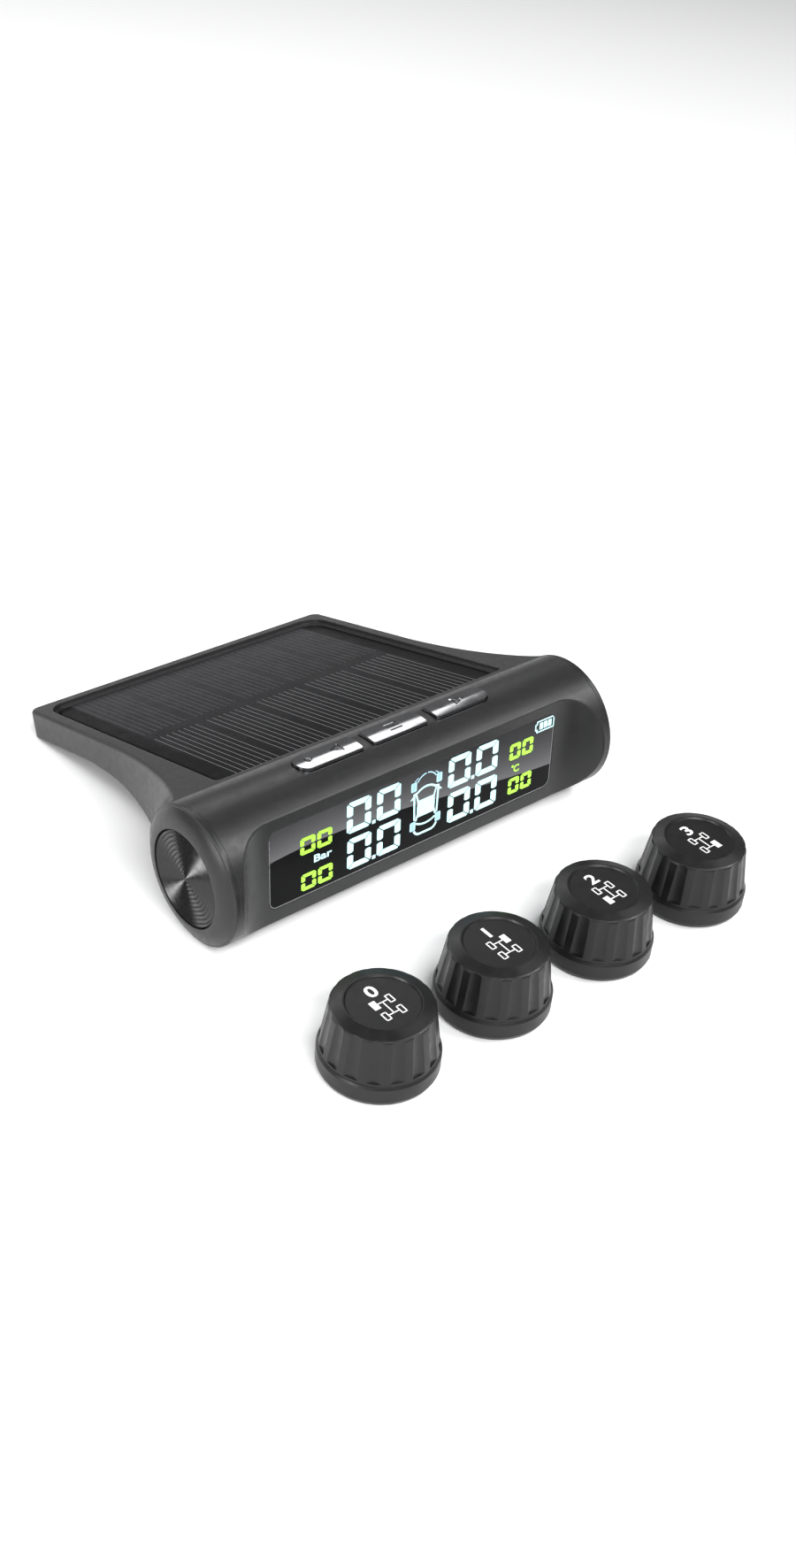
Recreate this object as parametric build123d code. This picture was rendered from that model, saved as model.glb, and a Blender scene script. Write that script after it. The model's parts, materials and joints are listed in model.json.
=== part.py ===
"""Tyre pressure monitor: a solar dash display and its four screw-on valve cap sensors.

The display is a tube lying along X with a flat solar wing behind it. It is drawn with the tube's
axis on the X axis and the display window upright, then leant back until the wing's rear edge
touches the floor, z = 0. The origin is the middle of the base pad's underside. The window faces -Y.
"""
import os
from math import asin, atan2, cos, degrees, hypot, radians, sin, sqrt

from build123d import *

# ---- display housing -------------------------------------------------------------------
TUBE_R = 13.5                # outside radius of the tube
TUBE_HALF = 44.6             # tube's half length, up to the end caps
WALL = 1.8                   # housing wall
COVER_WALL = 1.5             # lower cover wall
WING_SLOPE = 12.35           # degrees the wing falls to the back, with the window upright
WING_TOP = 12.97             # wing's top plane, from the tube's axis
WING_THICK = 6.0
WING_REACH = 71.3            # rear face, from the tube's axis along the wing
WING_HALF = 37.3             # wing's half width
WING_CORNER_R = 2.2          # rear corners in plan
SWEEP_R = 60.0               # underside sweep between wing and tube
FLARE_HALF = 45.3            # half length at which the wing's sides run out on the tube
FLARE_DEPTH = 28.0           # radial depth of that flare
EDGE_R = 0.65                # softened top edges of the wing
UNDER_EDGE_R = 0.5           # softened lower edges of the wing
PAD_FLAT = 0.55              # flat under the tube, above the floor

# ---- display window --------------------------------------------------------------------
WINDOW_Y = -7.85             # recess plane
RECESS_HALF = 34.9           # flat half width, before the end scoops
SCOOP_R = 9.7
RECESS_EDGE_R = 0.4          # softened edge between the recess and the tube
LENS_SIZE = (69.6, 16.8)
LENS_RISE = 0.23             # window centre above the tube's axis
LENS_CORNER_R = 1.8
LENS_THICK = 1.0
LEDGE = 1.5                  # bezel plate thickness
BEZEL = (1.6, 1.3)           # how far the bezel reaches in behind the lens's edge
LCD_SIZE = (66.5, 15.8)
LCD_THICK = 1.8
GUIDE_THICK = 2.0

# ---- solar tray ------------------------------------------------------------------------
TRAY_FRONT = 5.0             # along the wing, from the tube's axis
TRAY_RIM = 2.6
TRAY_CORNER_R = 4.6
TRAY_STEP = 0.8              # width of the ledge inside the rim
TRAY_STEP_DEPTH = 0.9
TRAY_DEPTH = 2.2
TRAY_FLOOR = 1.2
TRAY_WALL = 1.2
PANEL_THICK = 1.25
FIT = 0.1                    # gap left round pieces that drop into a pocket

# ---- end caps --------------------------------------------------------------------------
RIM_X = 45.75                # outer edge of the cap's rim
DOME_X = 47.25               # crown of the cap
PLATE_R = 9.4
PLATE_THICK = 0.95
RING_COUNT = 12
RING_DEPTH = 0.32
USB_SHELL = (7.0, 2.5, 7.5)  # length, thickness, width of the micro USB socket

# ---- buttons ---------------------------------------------------------------------------
KEY_ANGLE = 1.5              # degrees from the upright towards the wing
KEY_TOP_R = 14.15            # crown of the buttons, from the tube's axis
KEY_WIDTH = 5.0
KEY_LENGTH = 13.7
KEY_CENTRES = {"left": -15.85, "middle": 0.0, "right": 15.85}
KEY_MIDDLE_LENGTH = 12.8
KEY_GAP = 0.15
KEY_FLANGE = 0.5
SYMBOL_DEPTH = 0.22          # engraved symbols on the buttons
SYMBOL_LINE = 0.38
ARROW_SIZE = (2.7, 2.8)      # along and across the button
ARROW_SHIFT = {"left": 2.2, "right": 0.3}
BAR_SIZE = (2.9, 0.46)
BAR_PITCH = 1.05
RING_SHIFT = -3.9            # small ring beside the left button's arrow
RING_R = 0.85
KEY_SHAFT = 8.0              # depth of the buttons' wells
KEY_FOOT = 10.55             # underside of the buttons' flange, from the tube's axis
FLANGE_THICK = 0.5
KEY_STEM_R = 1.3
PLUNGER_R = 0.9
SWITCH_SIDE = 3.6
SWITCH_FOOT = 7.2            # top of the key board, from the tube's axis
SWITCH_TOP = 8.8
PLUNGER_TOP = 9.9

# ---- sensors ---------------------------------------------------------------------------
SENSOR_NAMES = ("fl", "fr", "rl", "rr")
SENSOR_PITCH = 25.6
SENSOR_GAP = 20.0            # from the tube's front to the sensors
SENSOR_R = 10.5
SKIRT_H = 4.3
SENSOR_H = 13.6
CAP_FOOT_R = 10.15
CAP_TOP_R = 8.95
SHOULDER_DROP = 0.55         # fall of the cap's shoulder from the mark to the edge
CAP_BORE_R = 8.0
NECK_R = 7.85
MARK_R = 6.2
MARK_DEPTH = 0.35
FLUTES = 16
FLUTE_R = 3.6
FLUTE_DEPTH = 0.42
THREAD_R = 3.5               # valve thread's bore, for a 7.7 mm tyre valve thread
THREAD_FOOT = 0.4            # start of the thread above the sensor's foot
THREAD_TOP = 4.6
RELIEF_R = 3.9               # undercut past the thread, which holds the gasket
RELIEF_TOP = 5.62
GASKET_THICK = 0.5
INSERT_R = 5.0
INSERT_TOP = 6.2
PIN_R = 0.8                  # hole for the pin that opens the tyre valve
BASE_FLOOR = 6.3             # underside of the sensor's inner room
ROOM_R = 6.7
NECK_TOP = 10.2
CROWN_THICK = 1.9
BOARD_R = 6.6
BOARD_THICK = 0.8
COIN_R = 6.25
COIN_THICK = 2.5
SEAL_R = 9.0
SEAL_WIRE_R = 0.45

# ---- directions worked out from the above ----------------------------------------------
slope = radians(WING_SLOPE)
UP_WING = Vector(0, sin(slope), cos(slope))
BACK_WING = Vector(0, cos(slope), -sin(slope))
WING = Plane(origin=(0, 0, 0), x_dir=(1, 0, 0), z_dir=UP_WING)
KEYS = Plane(origin=(0, 0, 0), x_dir=(1, 0, 0), z_dir=(0, sin(radians(KEY_ANGLE)), cos(radians(KEY_ANGLE))))
WING_UNDER = WING_TOP - WING_THICK
SWEEP_N = WING_UNDER - SWEEP_R
SWEEP_T = sqrt((TUBE_R + SWEEP_R) ** 2 - SWEEP_N ** 2)
SWEEP_CENTRE = UP_WING * SWEEP_N + BACK_WING * SWEEP_T
rear_foot = UP_WING * WING_UNDER + BACK_WING * WING_REACH
LEAN = degrees(atan2(rear_foot.Z, rear_foot.Y) + asin(TUBE_R / hypot(rear_foot.Y, rear_foot.Z)))
STANDING = Location((0, 0, TUBE_R), (-LEAN, 0, 0))


def stand(shape):
    """Lean a piece of the display back and set it on the floor."""
    return STANDING * shape


def on_wing(back, up):
    """Point (y, z) at a distance back along the wing and up from the tube's axis."""
    point = UP_WING * up + BACK_WING * back
    return (point.Y, point.Z)


def block(x_range, y_range, z_range):
    """Box between the given limits."""
    sizes = [high - low for low, high in (x_range, y_range, z_range)]
    middles = [(high + low) / 2 for low, high in (x_range, y_range, z_range)]
    return Pos(*middles) * Box(*sizes)


def rod_x(radius, low, high):
    """Cylinder along X between two stations."""
    return Pos((low + high) / 2, 0, 0) * Rot(0, 90, 0) * Cylinder(radius, high - low)


def revolve_x(points):
    """Solid of revolution about the X axis from (x, radius) points."""
    return revolve(make_face(Polyline(*points, close=True)), Axis.X)


def revolve_z(points):
    """Solid of revolution about the Z axis from (radius, z) points."""
    return revolve(Plane.XZ * make_face(Polyline(*points, close=True)), Axis.Z)


# ---- housing -----------------------------------------------------------------------------
def section(inset):
    """Side section of the wing and tube below the wing's top plane, moved inwards by inset."""
    radius = TUBE_R - inset
    top = WING_TOP - inset
    under = WING_UNDER + inset
    reach = WING_REACH - inset
    front = on_wing(-sqrt(radius ** 2 - top ** 2), top)
    rear_top = on_wing(reach, top)
    rear_low = on_wing(reach, under)
    sweep_end = on_wing(SWEEP_T, under)
    to_tube = SWEEP_CENTRE.normalized()
    sweep_start = to_tube * radius
    middle = (UP_WING - to_tube).normalized() * (SWEEP_R + inset) + SWEEP_CENTRE
    sweep_start = (sweep_start.Y, sweep_start.Z)
    edges = [
        Line(front, rear_top),
        Line(rear_top, rear_low),
        Line(rear_low, sweep_end),
        ThreePointArc(sweep_end, (middle.Y, middle.Z), sweep_start),
        ThreePointArc(sweep_start, (-radius, 0), front),
    ]
    return Plane.YZ * make_face(edges)


def spindle():
    """Limit of the housing in X at each distance from the tube's axis, with the flared sides."""
    reach = 2 * WING_REACH
    depth = FLARE_DEPTH
    width = FLARE_HALF - WING_HALF
    round_off = 0.5523
    flare_end = (WING_HALF, TUBE_R + depth)
    flare = Bezier(
        (FLARE_HALF, TUBE_R),
        (FLARE_HALF - round_off * width, TUBE_R),
        (WING_HALF, TUBE_R + (1 - round_off) * depth),
        flare_end,
    )
    edges = [
        Line((0, 0), (FLARE_HALF, 0)),
        Line((FLARE_HALF, 0), (FLARE_HALF, TUBE_R)),
        flare,
        Line(flare_end, (WING_HALF, reach)),
        Line((WING_HALF, reach), (0, reach)),
        Line((0, reach), (0, 0)),
    ]
    half = revolve(make_face(edges), Axis.X)
    return half + mirror(half, Plane.YZ)


def recess(offset):
    """Display recess with its end scoops, grown into the body by offset."""
    flat = WINDOW_Y + offset
    radius = SCOOP_R + offset
    centre_y = WINDOW_Y - SCOOP_R
    front = -2 * TUBE_R
    diagonal = radius * sqrt(0.5)
    edges = [Line((-RECESS_HALF, flat), (RECESS_HALF, flat))]
    for side in (-1, 1):
        edges.append(ThreePointArc(
            (side * RECESS_HALF, flat),
            (side * (RECESS_HALF + diagonal), centre_y + diagonal),
            (side * (RECESS_HALF + radius), centre_y),
        ))
        edges.append(Line((side * (RECESS_HALF + radius), centre_y), (side * (RECESS_HALF + radius), front)))
    edges.append(Line((-RECESS_HALF - radius, front), (RECESS_HALF + radius, front)))
    return extrude(make_face(edges), TUBE_R + 1, both=True)


def tray_box(inset, top, bottom, corner_r):
    """Rounded pocket in the wing, inset from the tray's outline, between two heights."""
    front = TRAY_FRONT + inset
    rear = WING_REACH - TRAY_RIM - inset
    half = WING_HALF - TRAY_RIM - inset
    outline = Pos(0, (front + rear) / 2) * Rectangle(2 * half, rear - front)
    corners = outline.vertices().sort_by(Axis.Y)
    outline = fillet(corners[2:], corner_r)
    outline = fillet(outline.vertices().sort_by(Axis.Y)[:2], corner_r / 4)
    return WING * Pos(0, 0, bottom) * extrude(outline, top - bottom)


def under_region(front, rear, side):
    """Everything below the middle of the housing's cavity, between two stations."""
    mid = (WING_TOP - TRAY_DEPTH - TRAY_FLOOR + WING_UNDER + COVER_WALL) / 2
    deep = -2 * TUBE_R
    points = [
        (front, deep),
        (front, 0),
        on_wing(SWEEP_T / 2, mid - 1.5),
        on_wing(SWEEP_T * 0.8, mid),
        on_wing(rear, mid),
        on_wing(rear, deep),
    ]
    return extrude(Plane.YZ * make_face(Polyline(*points, close=True)), side, both=True)


def floor_cut(height):
    """Everything below a height above the floor, in the display's own drawing position."""
    slab = block((-60, 60), (-20, 20), (-40, height))
    return STANDING.inverse() * slab


COVER_FRONT = -5.6
COVER_REAR = WING_REACH - WALL - 0.4
COVER_HALF = WING_HALF - WALL
SCREW_SITES = [(side * 29.0, back) for side in (-1, 1) for back in (28.0, 44.0)]
SCREW_HEAD_R = 1.75
SCREW_HEAD_H = 0.9
SCREW_R = 0.88
POST_R = 2.6                 # screw posts and bosses
SEAT_THICK = 1.0             # cover left under a screw's head
SCREW_LENGTH = 5.0


def under_height(back):
    """Height of the underside at a distance back along the wing."""
    if back >= SWEEP_T:
        return WING_UNDER
    return SWEEP_N + sqrt(SWEEP_R ** 2 - (back - SWEEP_T) ** 2)


def wing_post(x, back, radius, low, high):
    """Upright round post on the wing between two heights."""
    return WING * Pos(x, back, (low + high) / 2) * Cylinder(radius, high - low)


def screw_seat(back):
    """Height of the seat under a screw's head."""
    return under_height(back) + 1.35


def key_outline(name, grow):
    """Plan of a button: rounded outer end, square inner end."""
    length = KEY_MIDDLE_LENGTH if name == "middle" else KEY_LENGTH
    outline = Pos(KEY_CENTRES[name], 0) * Rectangle(length + 2 * grow, KEY_WIDTH + 2 * grow)
    corners = outline.vertices().sort_by(Axis.X)
    if name == "right":
        outer, inner = corners[2:], corners[:2]
    else:
        outer, inner = corners[:2], corners[2:]
    big = KEY_WIDTH / 2 - 0.2 + grow
    small = 0.5 + grow
    outline = fillet(outer, small if name == "middle" else big)
    rest = outline.vertices().sort_by(Axis.X)
    return fillet(rest[:2] if name == "right" else rest[-2:], small)


def along_wing(point):
    """How far back a point lies, measured along the wing."""
    return point.dot(BACK_WING)


def on_plane(edge, height):
    """Whether an edge lies at one height above the tube's axis, measured square to the wing."""
    return all(abs((edge @ place).dot(UP_WING) - height) < 0.01 for place in (0, 0.3, 0.7, 1))


def is_under_edge(edge):
    """Whether an edge borders the wing's underside at its sides or its rear."""
    middle = edge @ 0.5
    beside = abs(middle.X) > WING_HALF - 2 * WING_CORNER_R or along_wing(middle) > WING_REACH - 1
    return beside and middle.dot(UP_WING) < WING_UNDER + 0.1 and along_wing(middle) > TUBE_R


def is_recess_edge(edge):
    """Whether an edge lies where the display recess breaks through the tube."""
    places = [edge @ place for place in (0, 0.25, 0.5, 0.75, 1)]
    on_tube = all(abs(hypot(place.Y, place.Z) - TUBE_R) < 0.01 for place in places)
    middle = places[2]
    return on_tube and middle.Y < -6 and abs(middle.X) < TUBE_HALF - 0.1


def make_hull():
    """Outside of the housing: softened wing, tube and display recess."""
    wing = extrude(section(0), FLARE_HALF + 1, both=True) & spindle()
    uprights = wing.edges().filter_by(lambda edge: abs(edge.tangent_at(0.5).dot(UP_WING)) > 0.99)
    wing = fillet(uprights.sort_by(Axis.Y)[-2:], WING_CORNER_R)
    top_edges = wing.edges().filter_by(lambda edge: on_plane(edge, WING_TOP))
    wing = fillet(top_edges.filter_by(lambda edge: along_wing(edge @ 0.5) > -1), EDGE_R)
    wing = fillet(wing.edges().filter_by(is_under_edge), UNDER_EDGE_R)
    between_caps = block((-TUBE_HALF, TUBE_HALF), (-2 * TUBE_R, 2 * WING_REACH), (-WING_REACH, WING_REACH))
    hull = (wing & between_caps) + rod_x(TUBE_R, -TUBE_HALF, TUBE_HALF) - recess(0)
    return fillet(hull.edges().filter_by(is_recess_edge), RECESS_EDGE_R)


def make_upper_housing():
    hull = make_hull()
    hull -= floor_cut(PAD_FLAT)
    bore = rod_x(TUBE_R - WALL, -TUBE_HALF - 1, TUBE_HALF + 1)
    wing_room = extrude(section(WALL), COVER_HALF, both=True)
    tray_guard = tray_box(-TRAY_WALL, WING_TOP + 10, WING_TOP - TRAY_DEPTH - TRAY_FLOOR, 1.0)
    room = (bore + wing_room) - tray_guard - recess(LEDGE)
    housing = hull - room
    housing -= under_region(COVER_FRONT, COVER_REAR, COVER_HALF)
    housing -= tray_box(0, WING_TOP + 5, WING_TOP - TRAY_STEP_DEPTH, TRAY_CORNER_R)
    housing -= tray_box(TRAY_STEP, WING_TOP + 5, WING_TOP - TRAY_DEPTH, TRAY_CORNER_R - TRAY_STEP)
    width, height = LENS_SIZE
    pocket = Plane.XZ * RectangleRounded(width, height, LENS_CORNER_R)
    housing -= Pos(0, WINDOW_Y, LENS_RISE) * extrude(pocket, LENS_THICK + FIT, both=True)
    opening = Plane.XZ * RectangleRounded(width - 2 * BEZEL[0], height - 2 * BEZEL[1], LENS_CORNER_R / 2)
    housing -= Pos(0, WINDOW_Y, LENS_RISE) * extrude(opening, 2 * LEDGE, both=True)
    for name in KEY_CENTRES:
        housing -= KEYS * Pos(0, 0, TUBE_R - 2 * WALL - 0.6) * extrude(key_outline(name, KEY_GAP), KEY_SHAFT)
    for x, back in SCREW_SITES:
        floor = WING_TOP - TRAY_DEPTH - TRAY_FLOOR
        post_foot = screw_seat(back) + SEAT_THICK
        post = wing_post(x, back, POST_R, post_foot, floor + 0.2)
        housing += post & extrude(section(COVER_WALL + 0.1), COVER_HALF, both=True)
        housing -= wing_post(x, back, SCREW_R + 0.01, post_foot - 1, WING_TOP - TRAY_DEPTH - 0.3)
    for x in LEAD_STATIONS:
        housing -= wing_post(x, LEAD_BACK, LEAD_R + 0.15, 0, WING_TOP)
    return housing


def make_lower_cover():
    shell = extrude(section(0) - section(COVER_WALL), COVER_HALF - FIT, both=True)
    region = under_region(COVER_FRONT + FIT, COVER_REAR - FIT, COVER_HALF - FIT)
    cover = shell & region
    for x, back in SCREW_SITES:
        boss = wing_post(x, back, POST_R, under_height(back) - 2, screw_seat(back) + SEAT_THICK - 0.05)
        cover += boss & extrude(section(0.2), COVER_HALF, both=True)
        cover -= wing_post(x, back, SCREW_HEAD_R + 0.15, -20, screw_seat(back))
        cover -= wing_post(x, back, SCREW_R + 0.15, -20, WING_TOP)
    return cover - floor_cut(PAD_FLAT)


def make_case_screws():
    screws = []
    for x, back in SCREW_SITES:
        seat = screw_seat(back)
        tip = min(seat + SCREW_LENGTH, WING_TOP - TRAY_DEPTH - 0.5)
        screw = wing_post(x, back, SCREW_HEAD_R, seat - SCREW_HEAD_H, seat)
        screw += wing_post(x, back, SCREW_R, seat, tip)
        for turn in (0, 90):
            slot = Rot(0, 0, turn) * Box(2 * SCREW_HEAD_R * 0.6, 0.4, 0.8)
            screw -= WING * Pos(x, back, seat - SCREW_HEAD_H) * slot
        screws.append(screw)
    return Compound(children=screws)


def make_base_pad():
    flat_half = sqrt(TUBE_R ** 2 - (TUBE_R - PAD_FLAT) ** 2)
    outline = RectangleRounded(2 * COVER_HALF - 1, 2 * flat_half - 0.6, 1.2)
    return extrude(outline, PAD_FLAT)


# ---- end caps ----------------------------------------------------------------------------
def cap_blank():
    """Right end cap, before its socket slot."""
    rim_r = TUBE_R
    soft = 0.45
    edges = [
        Line((TUBE_HALF, 0), (TUBE_HALF, rim_r)),
        Line((TUBE_HALF, rim_r), (RIM_X - soft, rim_r)),
        ThreePointArc((RIM_X - soft, rim_r), (RIM_X - 0.12, rim_r - 0.14), (RIM_X, rim_r - soft)),
        ThreePointArc((RIM_X, rim_r - soft), (RIM_X + 1.0, rim_r - 2.0), (DOME_X, PLATE_R)),
        Line((DOME_X, PLATE_R), (DOME_X - PLATE_THICK, PLATE_R)),
        Line((DOME_X - PLATE_THICK, PLATE_R), (DOME_X - PLATE_THICK, 0)),
        Line((DOME_X - PLATE_THICK, 0), (TUBE_HALF, 0)),
    ]
    blank = revolve(make_face(edges), Axis.X)
    bore_r = TUBE_R - WALL
    spigot = rod_x(bore_r - FIT, TUBE_HALF - 1.4, TUBE_HALF + 0.2) - rod_x(bore_r - 1.3, 0, TUBE_HALF + 0.2)
    return blank + (spigot - recess(LEDGE + FIT))


def plate_blank():
    """Right ring plate: a disc cut with fine concentric grooves."""
    face_x = DOME_X - 0.1
    back_x = DOME_X - PLATE_THICK + 0.02
    rim = PLATE_R - 0.05
    pitch = rim / RING_COUNT
    points = [(back_x, 0), (face_x - RING_DEPTH, 0)]
    for ring in range(RING_COUNT):
        points.append((face_x, (ring + 0.5) * pitch))
        points.append((face_x - RING_DEPTH, (ring + 1) * pitch))
    points.append((back_x, rim))
    return revolve_x(points)


def usb_slot(grow):
    """Prism that clears the micro USB socket."""
    length, thick, width = USB_SHELL
    outline = RectangleRounded(thick + 2 * grow, width + 2 * grow, 0.6 + grow)
    return Pos(TUBE_HALF - 6, 0, 0) * extrude(Plane.YZ * outline, 12)


def make_usb_socket():
    length, thick, width = USB_SHELL
    front = DOME_X - 0.35
    wall = 0.3
    outer = extrude(Plane.YZ * RectangleRounded(thick, width, 0.6), length)
    inner = extrude(Plane.YZ * RectangleRounded(thick - 2 * wall, width - 2 * wall, 0.4), length - 1)
    tongue = block((0.5, length - 0.8), (-0.55, 0.05), (-2.2, 2.2))
    shell = outer - Pos(1, 0, 0) * inner + tongue
    return Pos(front - length, 0, 0) * shell


# ---- window stack ------------------------------------------------------------------------
def window_plate(width, height, front, thick, corner_r):
    """Upright rounded plate behind the window, from front (a y value) backwards."""
    outline = Plane.XZ * RectangleRounded(width, height, corner_r)
    return Pos(0, front, LENS_RISE) * extrude(outline, -thick)


LCD_Y = WINDOW_Y + LEDGE + 0.15
GUIDE_Y = LCD_Y + LCD_THICK + 0.05
FRAME_DEPTH = LCD_THICK + GUIDE_THICK + 0.1
PCB_Y = LCD_Y + FRAME_DEPTH + 0.1
PCB_THICK = 1.0
PCB_BACK = PCB_Y + PCB_THICK


def make_lcd_frame():
    width, height = LCD_SIZE
    outer = window_plate(width + 2.4, height + 2.0, LCD_Y, FRAME_DEPTH, 1.0)
    return outer - window_plate(width + 0.2, height + 0.2, LCD_Y - 1, FRAME_DEPTH + 2, 0.4)


# ---- boards and power --------------------------------------------------------------------
LEAD_R = 0.45
LEAD_STATIONS = (24.0, 25.6)
LEAD_BACK = 9.0
CELL_SIZE = (40.0, 16.0, 5.0)
CELL_BACK = 16.5
CELL_TOP = WING_TOP - TRAY_DEPTH - TRAY_FLOOR - 0.2


CHIPS = (                    # x, z, width, height and depth of each chip on the main board
    (4, -2, 7, 7, 1.0),
    (-27, 1, 4, 4, 0.9),
    (-22, -4, 3.2, 2.5, 0.8),
    (13, 1, 5, 4, 1.6),
    (29, -2, 3.0, 5.0, 1.2),
)
PASSIVE = (-7.6, 1.0, 0.6, 0.5)
PASSIVE_START = -2.0
PASSIVE_PITCH = 2.2
PASSIVE_COUNT = 8
COIL_TURNS = 7
COIL_R = 1.9
COIL_PITCH = 1.3
COIL_WIRE_R = 0.3


def on_board(x, z, width, height, depth):
    """Block soldered to the back of the main board."""
    return Pos(x, PCB_BACK + depth / 2, z) * Box(width, depth, height)


def make_pcb_components():
    chips = [on_board(*chip) for chip in CHIPS]
    passives = [on_board(PASSIVE_START + PASSIVE_PITCH * step, *PASSIVE) for step in range(PASSIVE_COUNT)]
    return Compound(children=chips + passives)


def make_antenna_coil():
    path = Helix(COIL_PITCH, COIL_TURNS * COIL_PITCH, COIL_R)
    wire = sweep(Plane(origin=path @ 0, z_dir=path % 0) * Circle(COIL_WIRE_R), path)
    return Pos(-37, PCB_BACK + COIL_R + 0.5, -5) * Rot(0, 90, 0) * wire


def tube_along(points, bend):
    """Round lead along straight runs joined by arcs."""
    path = FilletPolyline(*points, radius=bend)
    return sweep(Plane(origin=path @ 0, z_dir=path % 0) * Circle(LEAD_R), path)


def make_solar_leads():
    leads = []
    top = on_wing(LEAD_BACK, WING_TOP - TRAY_DEPTH - 0.02)
    low = on_wing(LEAD_BACK, 4.0)
    for x in LEAD_STATIONS:
        leads.append(tube_along([(x, *top), (x, *low), (x, PCB_BACK + 0.02, low[1])], 2.0))
    return Compound(children=leads)


def make_battery_leads():
    leads = []
    start_x = CELL_SIZE[0] / 2 + 0.02
    for level in (CELL_TOP - 1.6, CELL_TOP - 3.4):
        y, z = on_wing(CELL_BACK, level)
        turn_x = start_x + 1.8
        leads.append(tube_along([(start_x, y, z), (turn_x, y, z), (turn_x, PCB_BACK + 0.02, z)], 1.2))
    return Compound(children=leads)


# ---- buttons -----------------------------------------------------------------------------
def key_symbol(name):
    """Outline of a button's symbol: an arrow on the outer buttons, three bars on the middle one."""
    centre = KEY_CENTRES[name]
    if name == "middle":
        bars = [Pos(centre, BAR_PITCH * step) * Rectangle(*BAR_SIZE) for step in (-1, 0, 1)]
        return bars[0] + bars[1] + bars[2]
    side = -1 if name == "left" else 1
    length, width = ARROW_SIZE
    tail = centre + ARROW_SHIFT[name] - side * length / 2
    arrow = make_face(Polyline((tail, -width / 2), (tail, width / 2), (tail + side * length, 0), close=True))
    symbol = arrow - offset(arrow, -SYMBOL_LINE, kind=Kind.INTERSECTION)
    if name == "left":
        symbol += Pos(centre + RING_SHIFT, 0) * (Circle(RING_R) - Circle(RING_R - SYMBOL_LINE))
    return symbol


def make_button(name):
    crown = rod_x(KEY_TOP_R, -30, 30)
    symbol = KEYS * Pos(0, 0, KEY_TOP_R - 2) * extrude(key_symbol(name), 4)
    symbol -= rod_x(KEY_TOP_R - SYMBOL_DEPTH, -30, 30)
    inside = KEY_FOOT + FLANGE_THICK / 2
    cap = KEYS * Pos(0, 0, inside) * extrude(key_outline(name, 0), KEY_SHAFT)
    flange = KEYS * Pos(0, 0, KEY_FOOT) * extrude(key_outline(name, KEY_FLANGE), FLANGE_THICK)
    stem = KEYS * Pos(KEY_CENTRES[name], 0, (PLUNGER_TOP + inside) / 2)
    stem *= Cylinder(KEY_STEM_R, inside - PLUNGER_TOP)
    return (cap & crown) + flange + stem - symbol


def make_plunger(name):
    foot = SWITCH_TOP - 0.4
    return KEYS * Pos(KEY_CENTRES[name], 0, (PLUNGER_TOP + foot) / 2) * Cylinder(PLUNGER_R, PLUNGER_TOP - foot)


def make_tact_switches():
    bodies = []
    for x in KEY_CENTRES.values():
        height = SWITCH_TOP - SWITCH_FOOT
        body = Box(SWITCH_SIDE, SWITCH_SIDE, height)
        body -= Pos(0, 0, 0.3) * Cylinder(PLUNGER_R + 0.05, height)
        bodies.append(KEYS * Pos(x, 0, SWITCH_FOOT + height / 2) * body)
    return Compound(children=bodies)


# ---- sensors -----------------------------------------------------------------------------
def make_sensor_cap():
    """Fluted cap that closes the sensor, with a sloping shoulder and a recess for its position mark."""
    points = [
        (CAP_BORE_R, SKIRT_H + 0.02),
        (CAP_FOOT_R, SKIRT_H + 0.02),
        (CAP_TOP_R, SENSOR_H - SHOULDER_DROP - 0.5),
        (CAP_TOP_R - 0.15, SENSOR_H - SHOULDER_DROP - 0.15),
        (CAP_TOP_R - 0.45, SENSOR_H - SHOULDER_DROP),
        (MARK_R + 0.5, SENSOR_H),
        (MARK_R + 0.25, SENSOR_H),
        (MARK_R, SENSOR_H - MARK_DEPTH),
        (0, SENSOR_H - MARK_DEPTH),
        (0, SENSOR_H - CROWN_THICK),
        (CAP_BORE_R, SENSOR_H - CROWN_THICK),
    ]
    cap = revolve_z(points)
    taper = degrees(atan2(CAP_FOOT_R - CAP_TOP_R, SENSOR_H - SKIRT_H))
    for flute in range(FLUTES):
        reach = CAP_FOOT_R + FLUTE_R - FLUTE_DEPTH
        cutter = Pos(reach, 0, SKIRT_H + 0.9) * Rot(0, -taper, 0) * Cylinder(
            FLUTE_R, SENSOR_H, align=(Align.CENTER, Align.CENTER, Align.MIN))
        cap -= Rot(0, 0, 360 / FLUTES * flute) * cutter
    groove = Cylinder(SEAL_R + SEAL_WIRE_R + 0.03, 0.95) - Cylinder(SEAL_R - SEAL_WIRE_R - 0.03, 0.95)
    return cap - Pos(0, 0, SKIRT_H + 0.95 / 2) * groove


def make_sensor_base():
    """Skirt with the threaded neck that the cap screws on to."""
    points = [
        (INSERT_R, 0),
        (SENSOR_R - 1.1, 0),
        (SENSOR_R - 0.35, 0.35),
        (SENSOR_R, 1.1),
        (SENSOR_R, SKIRT_H - 0.5),
        (SENSOR_R - 0.3, SKIRT_H),
        (NECK_R, SKIRT_H),
        (NECK_R, NECK_TOP),
        (ROOM_R, NECK_TOP),
        (ROOM_R, BASE_FLOOR),
        (INSERT_R, BASE_FLOOR),
    ]
    return revolve_z(points)


def make_valve_insert():
    points = [
        (THREAD_R + 0.4, 0),
        (INSERT_R - 0.01, 0),
        (INSERT_R - 0.01, INSERT_TOP),
        (PIN_R, INSERT_TOP),
        (PIN_R, RELIEF_TOP),
        (RELIEF_R, RELIEF_TOP),
        (RELIEF_R, THREAD_TOP),
        (THREAD_R, THREAD_TOP),
        (THREAD_R, THREAD_FOOT),
    ]
    return revolve_z(points)


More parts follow.
